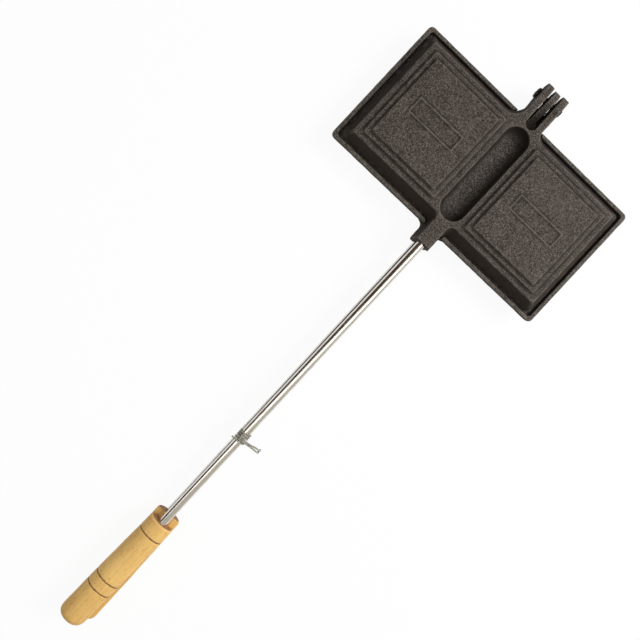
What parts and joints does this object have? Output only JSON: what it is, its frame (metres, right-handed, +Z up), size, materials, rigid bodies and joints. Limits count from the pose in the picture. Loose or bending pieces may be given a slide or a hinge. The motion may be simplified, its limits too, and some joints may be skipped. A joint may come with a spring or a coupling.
{
  "type": "sandwich iron",
  "caption": "Long-handled double sandwich iron: nested cast plates on a riveted knuckle hinge, steel rods, half-round wooden grips and a wire latch.",
  "frame": {"origin": "on the surface that the iron lies on, under the middle of its outline", "axes": "+Y along the handles from the grips to the hinge, +X across the plates, +Z up through the closed plates"},
  "size_m": [0.2482, 0.6463, 0.0398],
  "materials": {
    "seasoned_iron": "sand-cast, seasoned, matt grey-brown",
    "rivet_steel": "hammered, darkened by heat",
    "plated_rod": "bright plated, faint drawing lines",
    "turned_wood": "turned, sanded, unvarnished, burnt grooves",
    "latch_wire": "plated spring wire, slightly dull"
  },
  "bodies": {
    "lower_half": {"lower_plate": "seasoned_iron", "lower_rod": "plated_rod", "lower_grip": "turned_wood", "lower_grip_brad": "rivet_steel"},
    "upper_half": {"upper_plate": "seasoned_iron", "upper_rod": "plated_rod", "upper_grip": "turned_wood", "upper_grip_brad": "rivet_steel", "hinge_rivet": "rivet_steel"},
    "latch": {"latch_clip": "latch_wire"}
  },
  "joints": [
    {"name": "plates_hinge", "type": "hinge", "parent": "lower_half", "child": "upper_half", "pos_m": [0, 0.3105, 0.0195], "axis": [-1, 0, 0], "range_deg": [0, 180]},
    {"name": "latch_swing", "type": "hinge", "parent": "upper_half", "child": "latch", "pos_m": [0.0016, -0.0965, 0.027], "axis": [0, 1, 0], "range_deg": [-100, 90]}
  ]
}
